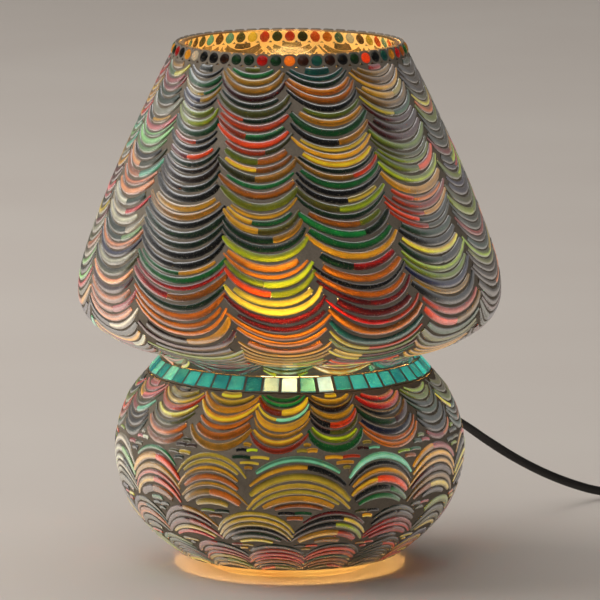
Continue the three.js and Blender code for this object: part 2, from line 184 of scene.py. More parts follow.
def closed_skin(count, rings, flip=False):
    """The quads between the rings of a closed body, and its two end faces."""
    first = tuple(range(count))
    last = tuple(range((rings - 1) * count, rings * count))
    ends = [first, last[::-1]] if flip else [first[::-1], last]
    return joined(count, rings, flip=flip) + ends


def lathe(profile, segments):
    """Vertices and faces of a closed profile of (radius, height) turned round the Z axis."""
    vertices = []
    for k in range(segments):
        angle = 2 * math.pi * k / segments
        vertices += [(r * math.cos(angle), r * math.sin(angle), z) for r, z in profile]
    return vertices, joined(len(profile), segments, wrap=True, flip=True)


def tube(path, section):
    """A closed tube: section points (across, up) carried along frames of (point, across, up)."""
    vertices = []
    for point, across, up in path:
        vertices += [tuple(point + across * x + up * y) for x, y in section]
    return vertices, closed_skin(len(section), len(path))


def catmull_rom(points, steps):
    """A centripetal Catmull-Rom curve through the points, with so many steps to each span."""
    p = np.asarray(points, float)
    p = np.vstack([2 * p[0] - p[1], p, 2 * p[-1] - p[-2]])
    found = []
    for i in range(1, len(p) - 2):
        p0, p1, p2, p3 = p[i - 1], p[i], p[i + 1], p[i + 2]
        d0, d1, d2 = (math.sqrt(np.linalg.norm(b - a)) for a, b in ((p0, p1), (p1, p2), (p2, p3)))
        start = (p1 - p0) / d0 - (p2 - p0) / (d0 + d1) + (p2 - p1) / d1
        end = (p2 - p1) / d1 - (p3 - p1) / (d1 + d2) + (p3 - p2) / d2
        start, end = start * d1, end * d1
        for t in np.arange(steps) / steps:
            h = (2 * t**3 - 3 * t**2 + 1, t**3 - 2 * t**2 + t, 3 * t**2 - 2 * t**3, t**3 - t**2)
            found.append(h[0] * p1 + h[1] * start + h[2] * p2 + h[3] * end)
    return np.array(found + [p[-2]])


# ---- Material helpers ----


def srgb(red, green, blue):
    """A linear colour from 0 to 255 screen values."""
    def linear(value):
        value /= 255
        return value / 12.92 if value <= 0.04045 else ((value + 0.055) / 1.055) ** 2.4
    return (linear(red), linear(green), linear(blue), 1.0)


class Shader:
    """A new node material with a Principled shader, and short ways to add nodes to it."""

    def __init__(self, name, **values):
        self.material = bpy.data.materials.new(name)
        self.material.use_nodes = True
        self.nodes = self.material.node_tree.nodes
        self.links = self.material.node_tree.links
        self.principled = next(n for n in self.nodes if n.type == "BSDF_PRINCIPLED")
        self.output = next(n for n in self.nodes if n.type == "OUTPUT_MATERIAL")
        for socket, value in values.items():
            self.principled.inputs[socket.replace("_", " ")].default_value = value

    def node(self, kind, inputs=(), **settings):
        made = self.nodes.new(kind)
        for key, value in settings.items():
            setattr(made, key, value)
        for key, value in dict(inputs).items():
            if isinstance(value, bpy.types.NodeSocket):
                self.links.new(value, made.inputs[key])
            else:
                made.inputs[key].default_value = value
        return made

    def set(self, socket, source):
        self.links.new(source, self.principled.inputs[socket])

    def place(self):
        return self.node("ShaderNodeTexCoord").outputs["Object"]

    def height(self):
        return self.node("ShaderNodeSeparateXYZ", {0: self.place()}).outputs["Z"]

    def noise(self, scale, detail, roughness=0.55):
        inputs = {"Vector": self.place(), "Scale": scale, "Detail": detail, "Roughness": roughness}
        return self.node("ShaderNodeTexNoise", inputs).outputs["Fac"]

    def ramp(self, factor, stops):
        made = self.node("ShaderNodeValToRGB", {"Fac": factor})
        ramp = made.color_ramp
        while len(ramp.elements) < len(stops):
            ramp.elements.new(0.5)
        for element, (position, colour) in zip(ramp.elements, stops):
            element.position = position
            element.color = colour
        return made.outputs["Color"]

    def grey_ramp(self, factor, stops):
        return self.ramp(factor, [(position, (value, value, value, 1)) for position, value in stops])

    def two_tone(self, socket, factor, first, second):
        self.set(socket, self.ramp(factor, [(0.3, first), (0.7, second)]))

    def math(self, operation, a, b=0.0, clamp=False):
        return self.node("ShaderNodeMath", {0: a, 1: b}, operation=operation, use_clamp=clamp).outputs[0]

    def mix(self, a, b, factor, blend="MIX"):
        made = self.node("ShaderNodeMix", data_type="RGBA", blend_type=blend)
        for index, value in ((0, factor), (6, a), (7, b)):
            if isinstance(value, bpy.types.NodeSocket):
                self.links.new(value, made.inputs[index])
            else:
                made.inputs[index].default_value = value
        return made.outputs[2]

    def bump(self, height, strength, distance):
        made = self.node("ShaderNodeBump", {"Height": height, "Strength": strength, "Distance": distance})
        self.set("Normal", made.outputs["Normal"])

    def let_shadow_rays_through(self, colour):
        """Light passes with a tint, as it does through real glass, with no need to trace caustics."""
        clear = self.node("ShaderNodeBsdfTransparent", {"Color": colour})
        path = self.node("ShaderNodeLightPath")
        mixed = self.node("ShaderNodeMixShader", {
            0: path.outputs["Is Shadow Ray"], 1: self.principled.outputs[0], 2: clear.outputs[0]})
        self.links.new(mixed.outputs[0], self.output.inputs["Surface"])


# ---- Materials ----


# How strongly the pieces glow by themselves: the bulb's filaments and globe give real light, while the glow
# of the grout's inside and of the glass's foot and lip is painted glow.
BULB_STRENGTH = 1700.0
GLOBE_GLOW = 1.7
INSIDE_GLOW = 0.28
FOOT_GLOW = 0.26
LIP_GLOW = 0.3
FOOT_GLOW_TOP = 13 * MM
LIP_GLOW_START = 298.5 * MM
GLOW_FADE = 4.0           # per metre away from the height of the bulb


def blown_glass():
    made = Shader("blown_glass", Roughness=0.03, IOR=1.5, Transmission_Weight=1.0)
    made.two_tone("Base Color", made.noise(18, 2), srgb(252, 246, 232), srgb(246, 240, 222))
    made.bump(made.noise(30, 2), 0.25, 0.002)
    # Painted glow: the bare foot and lip get a warm emission line that stands in for the bulb's light
    # carried along the wall.
    made.two_tone("Emission Color", made.noise(25, 3), (1.0, 0.36, 0.05, 1), (1.0, 0.58, 0.14, 1))
    height = made.height()
    foot = made.math("SUBTRACT", 1.0, made.math("DIVIDE", height, FOOT_GLOW_TOP), clamp=True)
    lip = made.math("MULTIPLY", made.math("SUBTRACT", height, LIP_GLOW_START), 400, clamp=True)
    foot_glow = made.math("MULTIPLY", foot, FOOT_GLOW)
    lip_glow = made.math("MULTIPLY", lip, LIP_GLOW)
    made.set("Emission Strength", made.math("MAXIMUM", foot_glow, lip_glow))
    made.let_shadow_rays_through((0.93, 0.91, 0.86, 1))
    return made.material


def grout():
    made = Shader("grout", IOR=1.45)
    tones = [(0.25, srgb(108, 99, 86)), (0.6, srgb(134, 124, 110)), (0.85, srgb(160, 150, 136))]
    colour = made.ramp(made.noise(35, 3), tones)
    fine = made.noise(900, 4, 0.7)
    speck = made.grey_ramp(fine, [(0.3, 0.72), (0.62, 1.1)])
    made.set("Base Color", made.mix(colour, speck, 0.8, "MULTIPLY"))
    made.set("Roughness", made.grey_ramp(fine, [(0.3, 0.75), (0.7, 0.95)]))
    made.bump(made.mix(made.noise(420, 4, 0.7), fine, 0.35), 0.6, 0.0006)
    return made.material


def grout_inside():
    """The face against the glass: light cream, with a painted glow that stands in for the bulb's light
    shining through it.
    """
    made = Shader("grout_inside", Roughness=0.7, Emission_Strength=INSIDE_GLOW)
    made.two_tone("Base Color", made.noise(60, 3), srgb(232, 214, 172), srgb(248, 236, 204))
    glow = made.ramp(made.noise(45, 3), [(0.25, (0.85, 0.46, 0.10, 1)), (0.75, (1.0, 0.66, 0.2, 1))])
    made.set("Emission Color", glow)
    return made.material


def coloured_glass(name, roughness, clarity, glow_strength, glow_tint=(1.0, 0.9, 0.6, 1)):
    """Glass whose colour is stored on each strip, bead or tile, with streaks and tiny seeds in it."""
    made = Shader(
        name, Roughness=roughness, IOR=1.4, Transmission_Weight=clarity, Specular_IOR_Level=0.12)
    colour = made.node("ShaderNodeAttribute", attribute_name="glass_colour").outputs["Color"]
    streaks = made.grey_ramp(made.noise(160, 3), [(0.25, 0.62), (0.5, 1.0), (0.78, 1.35)])
    seeds = made.grey_ramp(made.noise(1500, 2), [(0.62, 0.0), (0.75, 0.35)])
    tinted = made.mix(made.mix(colour, streaks, 0.6, "MULTIPLY"), (1, 0.93, 0.75, 1), seeds, "SCREEN")
    made.set("Base Color", tinted)
    # Painted glow: an emission in the glass's own colour, strongest at the bulb's height, stands in for the
    # bulb's light shining through the glass.
    glow = made.node("ShaderNodeGamma", {"Color": tinted, "Gamma": 1.5}).outputs["Color"]
    made.set("Emission Color", made.mix(glow, glow_tint, 1.0, "MULTIPLY"))
    away = made.math("ABSOLUTE", made.math("SUBTRACT", made.height(), BULB_CENTRE_Z))
    near_bulb = made.math("SUBTRACT", 1.0, made.math("MULTIPLY", away, GLOW_FADE), clamp=True)
    made.set("Emission Strength", made.math("MULTIPLY", near_bulb, glow_strength))
    made.bump(made.noise(240, 2), 0.15, 0.0008)
    made.let_shadow_rays_through(made.mix(tinted, (0, 0, 0, 1), 0.3))
    return made.material


def plain_metal(name, colour, roughness, scratch=600):
    made = Shader(name, Metallic=1.0)
    wear = made.noise(scratch, 4, 0.7)
    dull = tuple(0.72 * c for c in colour[:3]) + (1,)
    made.set("Base Color", made.ramp(made.noise(90, 3), [(0.3, dull), (0.65, colour)]))
    made.set("Roughness", made.grey_ramp(wear, [(0.3, roughness * 0.7), (0.7, roughness * 1.5)]))
    made.bump(wear, 0.12, 0.0003)
    return made.material


def moulded(name, dark, light, roughness, grain=1400, depth=0.00025):
    """Moulded plastic or rubber: a fine grain, with slight shine and colour differences."""
    made = Shader(name, IOR=1.48)
    made.two_tone("Base Color", made.noise(60, 3), dark, light)
    fine = made.noise(grain, 3, 0.6)
    made.set("Roughness", made.grey_ramp(fine, [(0.3, roughness - 0.07), (0.7, roughness + 0.1)]))
    made.bump(fine, 0.35, depth)
    return made.material


def clear_bulb():
    made = Shader(
        "bulb_glass", Roughness=0.02, IOR=1.45, Transmission_Weight=1.0, Emission_Strength=GLOBE_GLOW)
    made.two_tone("Base Color", made.noise(40, 2), srgb(255, 250, 240), srgb(250, 243, 228))
    made.two_tone("Emission Color", made.noise(70, 2), (1, 0.62, 0.24, 1), (1, 0.72, 0.34, 1))
    made.let_shadow_rays_through((0.96, 0.94, 0.9, 1))
    return made.material


def phosphor():
    made = Shader("phosphor", Roughness=0.5, Emission_Strength=BULB_STRENGTH)
    beads = made.noise(900, 2)
    made.two_tone("Base Color", beads, srgb(255, 196, 96), srgb(255, 214, 130))
    made.two_tone("Emission Color", beads, (1.0, 0.52, 0.16, 1), (1.0, 0.60, 0.24, 1))
    return made.material


GLASS = blown_glass()
GROUT = grout()
GROUT_INSIDE = grout_inside()
STRIP_GLASS = coloured_glass("strip_glass", 0.3, 0.78, 0.62)
BEAD_GLASS = coloured_glass("bead_glass", 0.2, 0.7, 0.8)
TILE_GLASS = coloured_glass("tile_glass", 0.25, 0.55, 0.5, (1.0, 1.0, 1.0, 1))
BRASS = plain_metal("brass", srgb(214, 172, 92), 0.28)
STEEL = plain_metal("steel", srgb(196, 198, 200), 0.3)
RUBBER = moulded("rubber", srgb(16, 15, 15), srgb(30, 29, 28), 0.62, 900)
BAKELITE = moulded("bakelite", srgb(20, 16, 13), srgb(34, 27, 22), 0.24, 2200, 0.0001)
CERAMIC = moulded("contact_ceramic", srgb(222, 216, 204), srgb(240, 236, 226), 0.3, 700)
SHEATH = moulded("cord_sheath", srgb(15, 12, 10), srgb(30, 25, 22), 0.38, 1100)
PLASTIC = moulded("black_plastic", srgb(17, 16, 15), srgb(29, 27, 26), 0.36, 1500)
BOARD = moulded("circuit_board", srgb(28, 84, 44), srgb(44, 112, 60), 0.4, 500)
CLEAR_BULB = clear_bulb()
PHOSPHOR = phosphor()

# ---- Cord ----


def exit_point(radius, height):
    return (radius * math.cos(CORD_ANGLE), radius * math.sin(CORD_ANGLE), height)


def in_metres(points):
    return [tuple(value * MM for value in point) for point in points]


def cord_route():
    """From inside the boot, through the switch, round the coil and out to the plug."""
    in_boot = [exit_point(BOOT_END_R - depth, CORD_EXIT_Z) for depth in (24 * MM, 8 * MM)]
    run = in_metres([
        (84, 99.5, 71.5), (93, 109.5, 66), (104, 121, 57), (118, 134.5, 45), (135, 149.5, 31.8),
        (153, 164, 20), (171, 176, 10.8), (186, 184.5, 5.2), (200, 191, 2.9), (214, 196.4, 4.6),
        (227.7, 200, 8), (259, 200, 8), (290.3, 200, 8), (300.3, 200, 6.4), (311.3, 200, 4),
        (322.5, 200, 3.7),
    ])
    tail = in_metres([
        (322.5, 124.9, 9.1), (310.5, 124.9, 8.2), (298.5, 124.9, 7), (287.5, 124.9, 6.85),
        (276, 124.9, 6.85),
    ])
    return in_boot + run + coil_points() + tail


def coil_points(per_turn=30):
    """Clockwise turns, seen from above: inwards on the lower layer, and out again on the upper."""
    points = []
    half = COIL_TURNS / 2
    for k in range(int(COIL_TURNS * per_turn) + 1):
        turn = k / per_turn
        radius = COIL_INNER_R + COIL_STEP * abs(turn - half)
        climb = min(max(turn - (half - 0.5), 0), 1)
        height = COIL_Z[0] + (COIL_Z[1] - COIL_Z[0]) * climb * climb * (3 - 2 * climb)
        angle = math.pi / 2 - 2 * math.pi * turn
        x = COIL_CENTRE[0] + radius * math.cos(angle)
        y = COIL_CENTRE[1] + radius * math.sin(angle)
        points.append((x, y, height))
    return points


def smooth_path(points, spacing):
    """The curve through the points, cut into equal steps."""
    dense = catmull_rom(points, 8)
    along = np.concatenate([[0], np.cumsum(np.linalg.norm(np.diff(dense, axis=0), axis=1))])
    steps = int(round(along[-1] / spacing))
    wanted = np.linspace(0, along[-1], steps + 1)
    return np.stack([np.interp(wanted, along, dense[:, axis]) for axis in range(3)], 1), wanted


def flat_cord_section():
    """Two round cores side by side, with a shallow groove between them."""
    core, groove = CORD_THICKNESS / 2, 0.84 * CORD_THICKNESS / 2
    centre = CORD_WIDTH / 2 - core
    angles = np.radians([-70, -35, 0, 35, 70])
    right = [(centre + core * math.cos(a), core * math.sin(a)) for a in angles]
    left = [(-x, -y) for x, y in right]
    return right + [(0, groove)] + left + [(0, -groove)]


def cord_frames(path, along, turn_from, turn_to):
    """Frames whose wide side turns from lying level to standing upright between two distances."""
    tangents = np.gradient(path, axis=0)
    frames = []
    for point, tangent, distance in zip(path, tangents, along):
        tangent = Vector(tangent).normalized()
        level = tangent.cross(Vector((0, 0, 1))).normalized()
        upright = level.cross(tangent).normalized()
        share = min(max((distance - turn_from) / (turn_to - turn_from), 0), 1)
        angle = math.pi / 2 * share * share * (3 - 2 * share)
        across = level * math.cos(angle) + upright * math.sin(angle)
        frames.append((Vector(point), across, tangent.cross(across).normalized()))
    return frames


def make_cord():
    path, along = smooth_path(cord_route(), 2.5 * MM)
    vertices, faces = tube(cord_frames(path, along, *CORD_TURN), flat_cord_section())
    cord = mesh_piece(
        "flat_cord", vertices, faces, SHEATH, replaces=("cord_run", "cord_link", "cord_tail", "cord_coil"),
        sharp=60)


# ---- Profile of the glass ----

PROFILE = catmull_rom(GLASS_OUTLINE, 16) * MM
ALONG = np.concatenate([[0], np.cumsum(np.linalg.norm(np.diff(PROFILE, axis=0), axis=1))])
SLOPE = np.gradient(PROFILE, ALONG, axis=0)


def distance_at(height):
    """How far along the outline a height is."""
    return float(np.interp(height, PROFILE[:, 1], ALONG))


def radius_at(distance):
    return np.interp(distance, ALONG, PROFILE[:, 0])


def on_glass(azimuth, distance, lift):
    """Points above the glass: azimuth in degrees from the front, + to the right, and distance along."""
    azimuth, distance = np.radians(np.asarray(azimuth, float)), np.asarray(distance, float)
    up = np.interp(distance, ALONG, SLOPE[:, 1])
    out = np.interp(distance, ALONG, SLOPE[:, 0])
    size = np.hypot(up, out)
    r = radius_at(distance) + lift * up / size
    z = np.interp(distance, ALONG, PROFILE[:, 1]) - lift * out / size
    return np.stack([r * np.sin(azimuth), -r * np.cos(azimuth), z * np.ones_like(r)], -1)


def make_glass_body():
    inner = []
    for (r, z), (out, up) in zip(PROFILE, SLOPE):
        if z > INNER_FOOT_Z:
            size = math.hypot(up, out)
            inner.append((r - GLASS_WALL * up / size, z + GLASS_WALL * out / size))
    lip = PROFILE[-1][1]
    middle = (PROFILE[-1][0] + inner[-1][0]) / 2
    outer = [tuple(p) for p in PROFILE[1:-1]]
    outer += [(PROFILE[-1][0], lip - 0.6 * MM), (middle + LIP_FLAT, lip)]
    inner = [p for p in inner if p[1] < lip - 0.8 * MM]
    top = [(middle - LIP_FLAT, lip), (inner[-1][0], lip - 0.7 * MM)]
    floor = catmull_rom(FLOOR_ABOVE[::-1], 5)[:-1] * MM
    under = catmull_rom(PUNT_BELOW[::-1], 5) * MM
    hub = [(HUB_HOLE_R, FLOOR_ABOVE[0][1] * MM), (HUB_HOLE_R, PUNT_BELOW[-1][1] * MM)]
    profile = outer + top + inner[::-1] + [tuple(p) for p in floor] + hub + [tuple(p) for p in under[1:]]
    profile = [(r, max(z, 0.0)) for r, z in profile]
    vertices, faces = lathe(profile, 160)
    mesh_piece("blown_glass_body", vertices, faces, GLASS, replaces=("glass_body",))


make_glass_body()

# ---- Mosaic layout ----

REPEAT_CHANCE = 0.33      # that a strip has the colour of the one below it
CUT_CHANCE = 0.3          # that a long row is made of two strips
LONG_ROW = 1.1            # where a whole column's width is 2
CUT_GAP = 0.002
ROW_ROOMS = [0.74, 0.82, 0.9, 1.0, 1.0, 1.08, 1.2, 1.38]        # of the pitch, drawn for each row
ROW_REACHES = [1.1, 1.1, 1.1, 1.1, 1.0, 0.95, 0.9, 0.84]        # of the column's half width
LEAST_CELLS = 2           # that a strip covers of the grid across its column
SAG_REACH = 22 * MM       # sagging rows start so far below their belt, to fill its lower corners
LEAN_START = 50 * MM      # columns start to lean so far above the foot of their belt
WAVERS = ((1.1, 19 * MM), (0.5, 6.1 * MM))      # of the borders: degrees, and the length they go with
ARC_HALF_WIDTHS = (14 * MM, 26 * MM)            # a narrow column has rounder arcs than a wide one
ARC_RADII = (1.12, 1.3)                         # in half widths
JOINT_HALF = 0.15 * MM
LEAST_HALF_WIDTH = 0.35 * MM
CUSP_DEPTHS = (2.0 * MM, 5.0 * MM, 7.6 * MM)

COLOURS = {
    "dark_green": (14, 66, 38), "emerald": (20, 128, 72), "teal": (18, 112, 112), "ink": (12, 12, 16),
    "brown": (66, 34, 18), "maroon": (118, 20, 26), "navy": (22, 30, 96), "amber": (226, 142, 34),
    "gold": (236, 186, 56), "orange": (232, 92, 30), "red": (206, 34, 30), "lime": (170, 190, 44),
    "olive": (104, 108, 38), "pale_green": (156, 204, 146), "peach": (242, 164, 120),
    "pink": (222, 128, 136), "clear": (232, 230, 216), "grey": (150, 152, 150), "lemon": (246, 222, 92),
    "mint": (150, 228, 208), "turquoise": (96, 214, 208), "foam": (226, 252, 240), "sea": (66, 180, 182),
}
SPLASHES = {
    # Paler, washed colours for the left side: partly the glass's own colours, partly painted reflection of
    # the light falling from the left.
    "pale":
        "clear clear peach pink pale_green ink gold red mint dark_green maroon olive peach navy "
        "lemon pale_green",
    "rich":
        "navy maroon maroon olive amber ink ink ink dark_green dark_green emerald orange gold "
        "dark_green lime red brown lemon",
    "warm":
        "orange olive lime lime dark_green dark_green maroon amber lemon orange gold gold gold "
        "emerald red lemon",
    "leafy":
        "emerald dark_green lime lime gold lemon gold red amber dark_green orange olive maroon ink "
        "teal lemon",
    "mixed":
        "dark_green red olive ink gold lime maroon lemon amber emerald orange navy dark_green gold",
    "dusk":
        "olive dark_green ink red maroon lime amber teal brown gold olive dark_green lemon navy",
    "honey":
        "amber gold gold ink orange olive mint maroon lemon brown emerald orange red lime gold ink "
        "lemon",
    "ember":
        "orange orange emerald maroon olive amber red gold dark_green lime lemon lemon gold "
        "dark_green ink",
}
# The family of colours up to each azimuth, round every zone.
REGIONS = {
    "shade": [
        (-67, "pale"), (-50, "pale"), (-19, "rich"), (4, "warm"), (30, "leafy"), (58, "mixed"),
        (110, "dusk"), (155, "leafy"), (205, "rich"), (250, "warm"), (360, "pale")
    ],
    "base_upper": [
        (-58, "pale"), (-10, "honey"), (30, "honey"), (60, "mixed"), (120, "dusk"), (200, "honey"),
        (360, "leafy")
    ],
    "base_lower": [
        (-55, "pale"), (-10, "ember"), (40, "honey"), (90, "mixed"), (180, "ember"), (360, "mixed")
    ],
    "base_middle": [
        (-45, "dusk"), (30, "ember"), (90, "dusk"), (180, "ember"), (360, "mixed")
    ],
    "base_foot": [
        (-30, "leafy"), (60, "ember"), (160, "dusk"), (260, "ember"), (360, "leafy")
    ],
}


def pick_colour(zone, azimuth, previous=None):
    """A colour of the family that this part of the lamp has; now and then the one below repeats."""
    if previous and zone.rng.random() < REPEAT_CHANCE:
        return previous
    splash = next(splash for limit, splash in REGIONS[zone.name] if azimuth < limit)
    return zone.rng.choice(SPLASHES[splash].split())


def varied(name, rng):
    red, green, blue, _ = srgb(*COLOURS[name])
    shade = rng.uniform(0.5, 0.95)
    return (min(red * shade * rng.uniform(0.92, 1.08), 1), min(green * shade, 1), min(blue * shade, 1), 1)


class Zone:
    """A belt of the mosaic, laid in columns of nested arcs that sag (bend 1) or arch (bend -1)."""

    def __init__(self, name, borders, band, bend, pitch, seed, borders_top=None, even=1):
        self.name = name
        self.low, self.high = distance_at(band[0]), distance_at(band[1])
        # A row of every column lies along one edge of the belt, and the others follow from there.
        self.even = (self.low, self.high)[even]
        self.step = (1, -1)[even]
        self.bend, self.pitch = bend, pitch
        self.rng = random.Random(seed)
        self.borders, self.borders_top = borders, borders_top or borders
        self.phases = [self.rng.uniform(0, 6.28) for _ in borders]
        self.count = len(borders)

    def border(self, index, distance):
        """A column's right-hand border, which wavers a little on its way up."""
        turns, k = divmod(index, self.count)
        share = np.clip((distance - self.low - LEAN_START) / (self.high - self.low - LEAN_START), 0, 1)
        lean = self.borders[k] + share * (self.borders_top[k] - self.borders[k])
        waver = sum(degrees * np.sin(distance / length + self.phases[k]) for degrees, length in WAVERS)
        return lean + 360 * turns + waver

    def azimuth(self, column, share, distance):
        """The azimuth of a share (-1 at the left border, 1 at the right) at a distance along."""
        left, right = self.border(column - 1, distance), self.border(column, distance)
        return (left + right) / 2 + share * (right - left) / 2

    def half_width(self, column, distance):
        left, right = self.border(column - 1, distance), self.border(column, distance)
        return np.radians(right - left) / 2 * radius_at(distance)

    def arc_radius(self, half):
        return half * float(np.interp(half, ARC_HALF_WIDTHS, ARC_RADII))

    def arc(self, column, start, share):
        """Distance along the outline, and the cosine of the arc's slope, at a share across the column."""
        half = float(self.half_width(column, start))
        radius = self.arc_radius(half)
        across = np.abs(share) * half
        drop = radius - np.sqrt(radius**2 - across**2)
        return start + self.bend * drop, np.sqrt(1 - (across / radius) ** 2)

    def starts(self):
        """The middle of each row of a column, and the room that it has, from the lowest row up."""
        reach = SAG_REACH if self.bend > 0 else 0.0
        edge = self.even
        found = []
        while self.low - reach <= edge <= self.high:
            room = self.pitch * self.rng.choice(ROW_ROOMS)
            found.append((edge + self.step * room / 2, room))
            edge += self.step * room
        return sorted(found)

    def cusp(self, column, depth):
        """How much room is left beside a column's outermost arc, at a depth in from the belt's edge."""
        half = float(self.half_width(column, self.even))
        radius = self.arc_radius(half)
        return half - math.sqrt(max(radius**2 - (radius - depth) ** 2, 0))


GRID = np.linspace(-1, 1, 19)


def half_at(room, cosine):
    """Half the width of a strip, which gets thinner where its arc is steep."""
    return np.maximum(np.minimum(STRIP_HALF_WIDTH, cosine * room / 2 - JOINT_HALF), LEAST_HALF_WIDTH)


def column_layout(zone, column):
    """The grout's open cells and the strips of one column."""
    rows = [np.full(len(GRID), zone.low)]
    open_rows = []
    strips = []
    previous = None
    for start, room in zone.starts():
        middle, cosine = zone.arc(column, start, GRID)
        half = (half_at(room, cosine) * 0.85 - 0.1 * MM) / cosine
        low, high = middle - half, middle + half
        inside = (low > zone.low - 0.3 * MM) & (high < zone.high + 0.3 * MM)
        low, high = np.clip(low, zone.low, zone.high), np.clip(high, zone.low, zone.high)
        reach = zone.rng.choice(ROW_REACHES)
        lean = zone.rng.uniform(-0.08, 0.08)
        covered = inside & (GRID > -reach + lean) & (GRID < reach + lean)
        is_open = np.zeros(len(GRID) - 1, bool)
        for first, last in find_runs(covered):
            is_open[first:last] = True
            previous = pick_colour(zone, zone.azimuth(column, 0, start), previous)
            strips += cut_strip(zone, column, start, GRID[first] - 0.02, GRID[last] + 0.02, room, previous)
        rows += [low, high]
        open_rows += [None, is_open]
    rows.append(np.full(len(GRID), zone.high))
    open_rows.append(None)
    return rows, open_rows, strips


def find_runs(flags):
    """First and last grid line of each run of covered lines that is long enough for a strip."""
    runs, first = [], None
    for index, flag in enumerate(list(flags) + [False]):
        if flag and first is None:
            first = index
        if not flag and first is not None:
            if index - 1 - first >= LEAST_CELLS:
                runs.append((first, index - 1))
            first = None
    return runs


def cut_strip(zone, column, start, left, right, room, name):
    """A row is mostly one strip; long ones are sometimes made of two pieces end to end."""
    length = right - left
    if length > LONG_ROW and zone.rng.random() < CUT_CHANCE:
        cut = zone.rng.uniform(left + 0.35 * length, left + 0.65 * length)
        other = pick_colour(zone, zone.azimuth(column, 0, start))
        return [
            (column, start, left, cut - CUT_GAP, room, name),
            (column, start, cut + CUT_GAP, right, room, other),
        ]
    return [(column, start, left, right, room, name)]


def grout_cells(zone, column, rows, open_rows):
    """Corner places (azimuth, distance) of every closed cell of a column's grid."""
    cells = []
    for k, is_open in enumerate(open_rows):
        lower, upper = rows[k], np.maximum(rows[k + 1], rows[k])
        for i in range(len(GRID) - 1):
            if is_open is not None and is_open[i]:
                continue
            if upper[i] - lower[i] < 1e-6 and upper[i + 1] - lower[i + 1] < 1e-6:
                continue
            corners = ((i, lower[i]), (i + 1, lower[i + 1]), (i + 1, upper[i + 1]), (i, upper[i]))
            cells.append([(float(zone.azimuth(column, GRID[j], s)), float(s)) for j, s in corners])
    return cells


def thick_bed(name, cells, replaces=()):
    """A bed of grout: the cells' top and bottom faces, with walls round every opening."""
    index, places, quads = {}, [], []
    for cell in cells:
        quad = []
        for azimuth, distance in cell:
            key = (round((azimuth % 360) * 2000), round(distance * 1e6))
            if key not in index:
                index[key] = len(places)
                places.append((azimuth, distance))
            if index[key] not in quad:
                quad.append(index[key])
        if len(quad) > 2:
            quads.append(quad)
    azimuths, distances = np.array(places).T
    waves = np.sin(azimuths * 3.1 + 40 * np.sin(distances * 900)) * np.cos(distances * 2600 + azimuths)
    top = on_glass(azimuths, distances, GROUT_TOP + GROUT_UNEVEN * waves)
    bottom = on_glass(azimuths, distances, GROUT_LOW)
    count = len(places)
    faces = [tuple(quad) for quad in quads]
    faces += [tuple(i + count for i in reversed(quad)) for quad in quads]
    edges = {}
    for quad in quads:
        for a, b in zip(quad, quad[1:] + quad[:1]):
            edges[(a, b)] = edges.get((a, b), 0) + 1
    for a, b in edges:
        if (b, a) not in edges:
            faces.append((a, a + count, b + count, b))
    bed = mesh_piece(name, np.vstack([top, bottom]), faces, GROUT, replaces=replaces, sharp=50)
    bed.data.materials.append(GROUT_INSIDE)
    for face in bed.data.polygons:
        if min(face.vertices) >= count:
            face.material_index = 1
    return bed


STATIONS = np.linspace(0, 1, 13)
END_TAPER = np.minimum(1, 0.82 + 3 * np.minimum(STATIONS, 1 - STATIONS))
DOME = [(math.cos(a), math.sin(a)) for a in np.radians([0, 36, 72, 108, 144, 180])]


def painted_edge_shade_and_glints(colour, rng):
    """The colours across a strip: painted shade darkens it where it meets the grout, and the streaks along
    its back are partly drawn glass and partly painted highlight lines.
    """
    red, green, blue, _ = colour
    back = [rng.choice([0.5, 0.75, 0.9, 1.1, 1.4, 1.9]) for _ in range(4)]
    tones = [0.08, 0.12, 0.5 * back[0], back[1], back[2], 0.5 * back[3], 0.12, 0.08]
    return [(min(red * tone, 1), min(green * tone, 1), min(blue * tone, 1), 1) for tone in tones]


def strip_mesh(zone, column, start, left, right, room):
    """One strip of a column's arc, between two shares of the column's width."""
    shares = left + (right - left) * STATIONS
    distances, cosines = zone.arc(column, start, shares)
    return rod_mesh(zone.azimuth(column, shares, distances), distances, half_at(room, cosines) * END_TAPER)


def rod_mesh(azimuths, distances, half):
    """A low half-round strip of glass, as closed geometry along a line over the blown body."""
    base = on_glass(azimuths, distances, 0.0)
    normals = (on_glass(azimuths, distances, MM) - base) / MM
    tangents = np.gradient(base, axis=0)
    tangents /= np.linalg.norm(tangents, axis=1)[:, None]
    across = np.cross(normals, tangents)
    rise = (STRIP_TOP - STRIP_SIDE) * np.minimum(1, 0.45 + 0.55 * half / STRIP_HALF_WIDTH)
    vertices = []
    for k in range(len(base)):
        section = [(half[k], GROUT_LOW)] + [(half[k] * x, STRIP_SIDE + rise[k] * y) for x, y in DOME]
        section.append((-half[k], GROUT_LOW))
        vertices += [base[k] + across[k] * x + normals[k] * y for x, y in section]
    return vertices, closed_skin(len(DOME) + 2, len(base), flip=True)


def cusp_strips(zone, column):
    """Short straight strips that fill the notch between this column's outer arc and the next one's."""
    strips = []
    for depth in CUSP_DEPTHS:
        left, right = (
            zone.cusp(c % zone.count, depth + 0.8 * MM) - 1.0 * MM for c in (column, column + 1))
        distance = zone.even + zone.step * depth
        middle = float(zone.border(column, distance))
        degrees = math.degrees(1 / float(radius_at(distance)))
        ends = [middle - left * degrees, middle + right * degrees]
        if left + right < 3 * MM:
            continue
        cuts = [ends[0], (ends[0] + ends[1]) / 2, ends[1]] if left + right > 11 * MM else ends
        for first, last in zip(cuts, cuts[1:]):
            azimuths = first + (last - first) * (0.01 + 0.98 * STATIONS)
            tilt = zone.rng.uniform(-0.5, 0.5) * MM
            bow = zone.step * zone.bend * 0.5 * MM * (1 - (2 * STATIONS - 1) ** 2)
            distances = distance + tilt * (STATIONS - 0.5) + bow
            strips.append(rod_mesh(azimuths, distances, zone.rng.uniform(1.05, 1.4) * MM * END_TAPER))
    return strips


